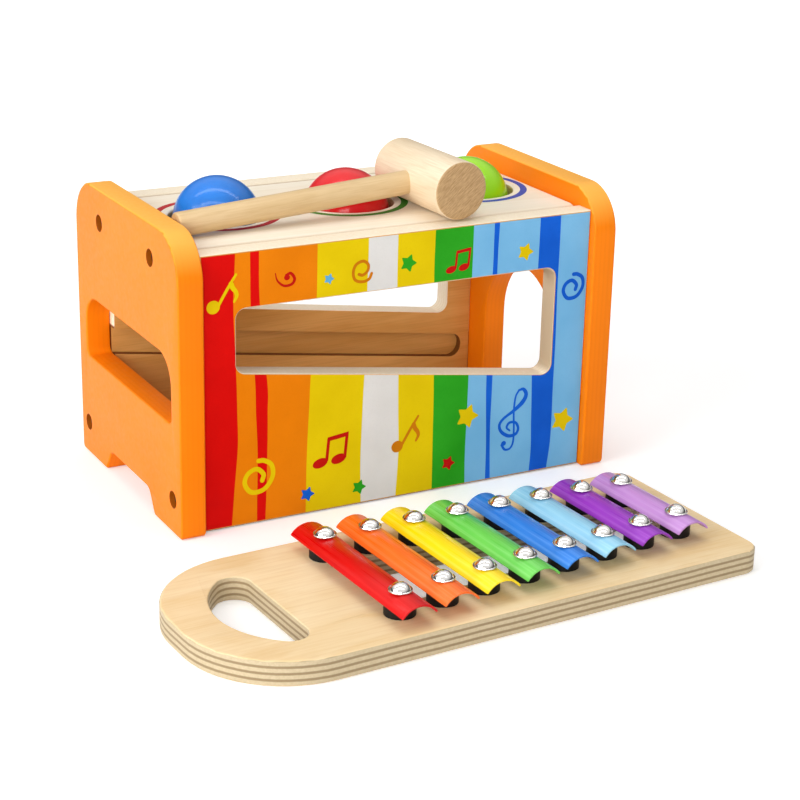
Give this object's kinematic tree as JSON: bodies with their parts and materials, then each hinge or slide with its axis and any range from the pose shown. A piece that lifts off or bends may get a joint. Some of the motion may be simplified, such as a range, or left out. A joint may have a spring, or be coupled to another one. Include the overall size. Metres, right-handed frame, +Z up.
{
  "type": "pounding xylophone",
  "caption": "Wooden pounding bench with painted balls and a mallet, and a xylophone of painted metal bars that slides into it.",
  "frame": {"origin": "middle of the whole set's footprint, on the table", "axes": "+X towards the bench's arch end, +Y from the xylophone towards the bench, +Z up"},
  "size_m": [0.2976, 0.308, 0.1758],
  "materials": {
    "orange_paint": "painted, satin",
    "printed_plywood": "printed stripes, satin",
    "plywood": "clear matt",
    "pale_wood": "clear matt",
    "black_rubber": "matt",
    "screw_steel": "dull",
    "chrome": "polished",
    "ball_blue_paint": "painted, gloss",
    "ball_red_paint": "painted, gloss",
    "ball_green_paint": "painted, gloss",
    "bar_paint_red": "painted, gloss",
    "bar_paint_orange": "painted, gloss",
    "bar_paint_yellow": "painted, gloss",
    "bar_paint_green": "painted, gloss",
    "bar_paint_blue": "painted, gloss",
    "bar_paint_light_blue": "painted, gloss",
    "bar_paint_purple": "painted, gloss",
    "bar_paint_lilac": "painted, gloss"
  },
  "bodies": {
    "bench": {"left_end_panel": "orange_paint", "right_end_panel": "orange_paint", "front_panel": "printed_plywood", "back_panel": "plywood", "top_board": "pale_wood", "ball_grip_sheet": "black_rubber", "bench_screw_left_1": "screw_steel", "bench_screw_left_2": "screw_steel", "bench_screw_left_3": "screw_steel", "bench_screw_left_4": "screw_steel", "bench_screw_right_1": "screw_steel", "bench_screw_right_2": "screw_steel", "bench_screw_right_3": "screw_steel", "bench_screw_right_4": "screw_steel"},
    "ball_blue": {"ball_blue": "ball_blue_paint"},
    "ball_red": {"ball_red": "ball_red_paint"},
    "ball_green": {"ball_green": "ball_green_paint"},
    "mallet": {"mallet_head": "pale_wood", "mallet_handle": "pale_wood"},
    "xylophone": {"xylophone_board": "plywood", "bar_1_red": "bar_paint_red", "bar_2_orange": "bar_paint_orange", "bar_3_yellow": "bar_paint_yellow", "bar_4_green": "bar_paint_green", "bar_5_blue": "bar_paint_blue", "bar_6_light_blue": "bar_paint_light_blue", "bar_7_purple": "bar_paint_purple", "bar_8_lilac": "bar_paint_lilac", "spacer_1_front": "black_rubber", "spacer_1_back": "black_rubber", "spacer_2_front": "black_rubber", "spacer_2_back": "black_rubber", "spacer_3_front": "black_rubber", "spacer_3_back": "black_rubber", "spacer_4_front": "black_rubber", "spacer_4_back": "black_rubber", "spacer_5_front": "black_rubber", "spacer_5_back": "black_rubber", "spacer_6_front": "black_rubber", "spacer_6_back": "black_rubber", "spacer_7_front": "black_rubber", "spacer_7_back": "black_rubber", "spacer_8_front": "black_rubber", "spacer_8_back": "black_rubber", "bar_screw_1_front": "chrome", "bar_screw_1_back": "chrome", "bar_screw_2_front": "chrome", "bar_screw_2_back": "chrome", "bar_screw_3_front": "chrome", "bar_screw_3_back": "chrome", "bar_screw_4_front": "chrome", "bar_screw_4_back": "chrome", "bar_screw_5_front": "chrome", "bar_screw_5_back": "chrome", "bar_screw_6_front": "chrome", "bar_screw_6_back": "chrome", "bar_screw_7_front": "chrome", "bar_screw_7_back": "chrome", "bar_screw_8_front": "chrome", "bar_screw_8_back": "chrome"}
  },
  "joints": [
    {"name": "ball_blue_drop", "type": "slide", "parent": "bench", "child": "ball_blue", "axis": [0, 0, -1], "range_m": [0, 0.1188], "deforming": ["ball_grip_sheet"]},
    {"name": "ball_red_drop", "type": "slide", "parent": "bench", "child": "ball_red", "axis": [0, 0, -1], "range_m": [0, 0.1161], "deforming": ["ball_grip_sheet"]},
    {"name": "ball_green_drop", "type": "slide", "parent": "bench", "child": "ball_green", "axis": [0, 0, -1], "range_m": [0, 0.1156], "deforming": ["ball_grip_sheet"]},
    {"name": "mallet_lift", "type": "slide", "parent": "bench", "child": "mallet", "axis": [0, 0, 1], "range_m": [0, 0.12]},
    {"name": "xylophone_lift", "type": "slide", "parent": "bench", "child": "xylophone", "axis": [0, 0, 1], "range_m": [0, 0.15]}
  ]
}
